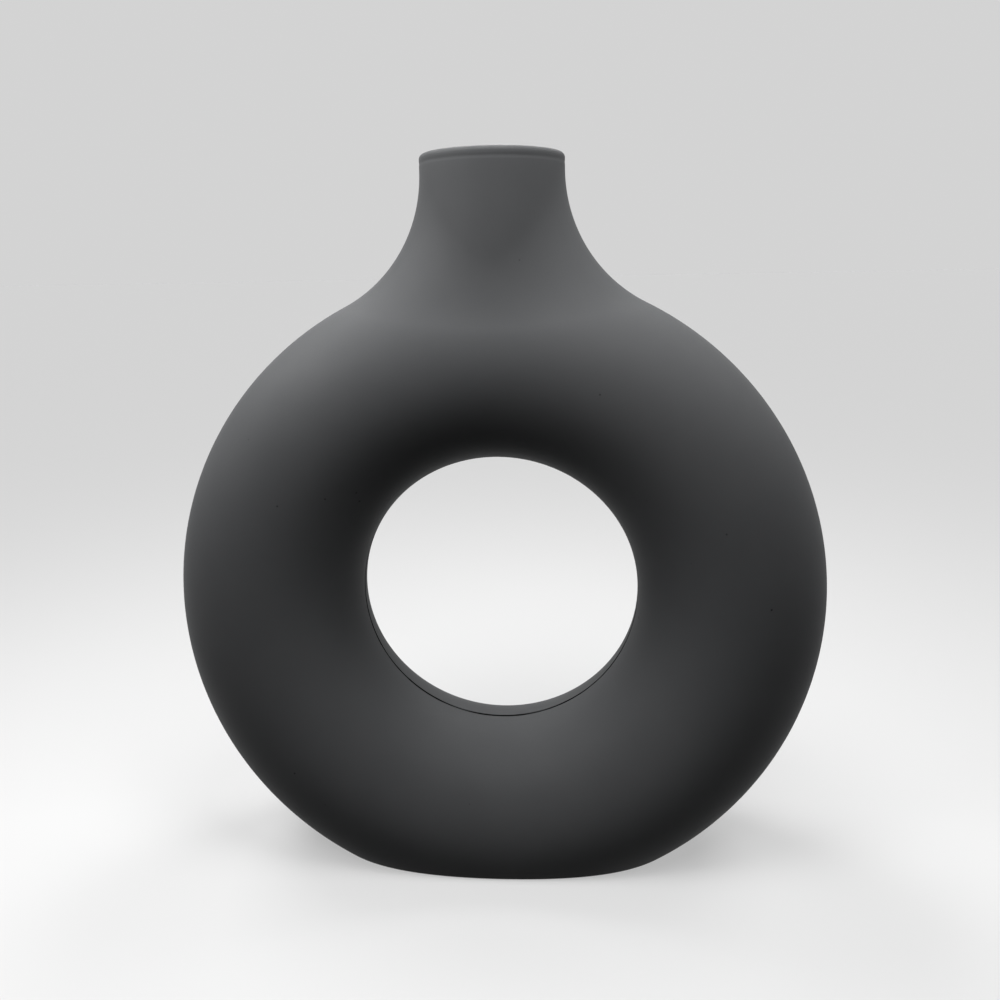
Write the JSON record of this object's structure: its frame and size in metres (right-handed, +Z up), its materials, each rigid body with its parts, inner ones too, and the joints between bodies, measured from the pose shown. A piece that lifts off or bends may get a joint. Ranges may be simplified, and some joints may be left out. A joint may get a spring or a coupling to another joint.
{
  "type": "ring-shaped flower vase",
  "caption": "Free-standing ring vase in matte black ceramic: a hollow round tube bent into a closed circle on a flat base, with a flared round neck that holds stems and water.",
  "frame": {"origin": "on the table under the middle of the vase: the centre of the flat base", "axes": "+Z up through the neck, +X along the ring's width, Y through the ring's hole with the front half at -Y"},
  "size_m": [0.22, 0.0624, 0.237],
  "materials": {
    "black_ceramic": "matte black fired coating, fine tooth",
    "seam_slip": "matte black, slightly sunk hairline"
  },
  "bodies": {
    "root": {"front_half": "black_ceramic", "back_half": "black_ceramic", "hole_seam": "seam_slip", "outer_seam": "seam_slip"}
  },
  "joints": []
}
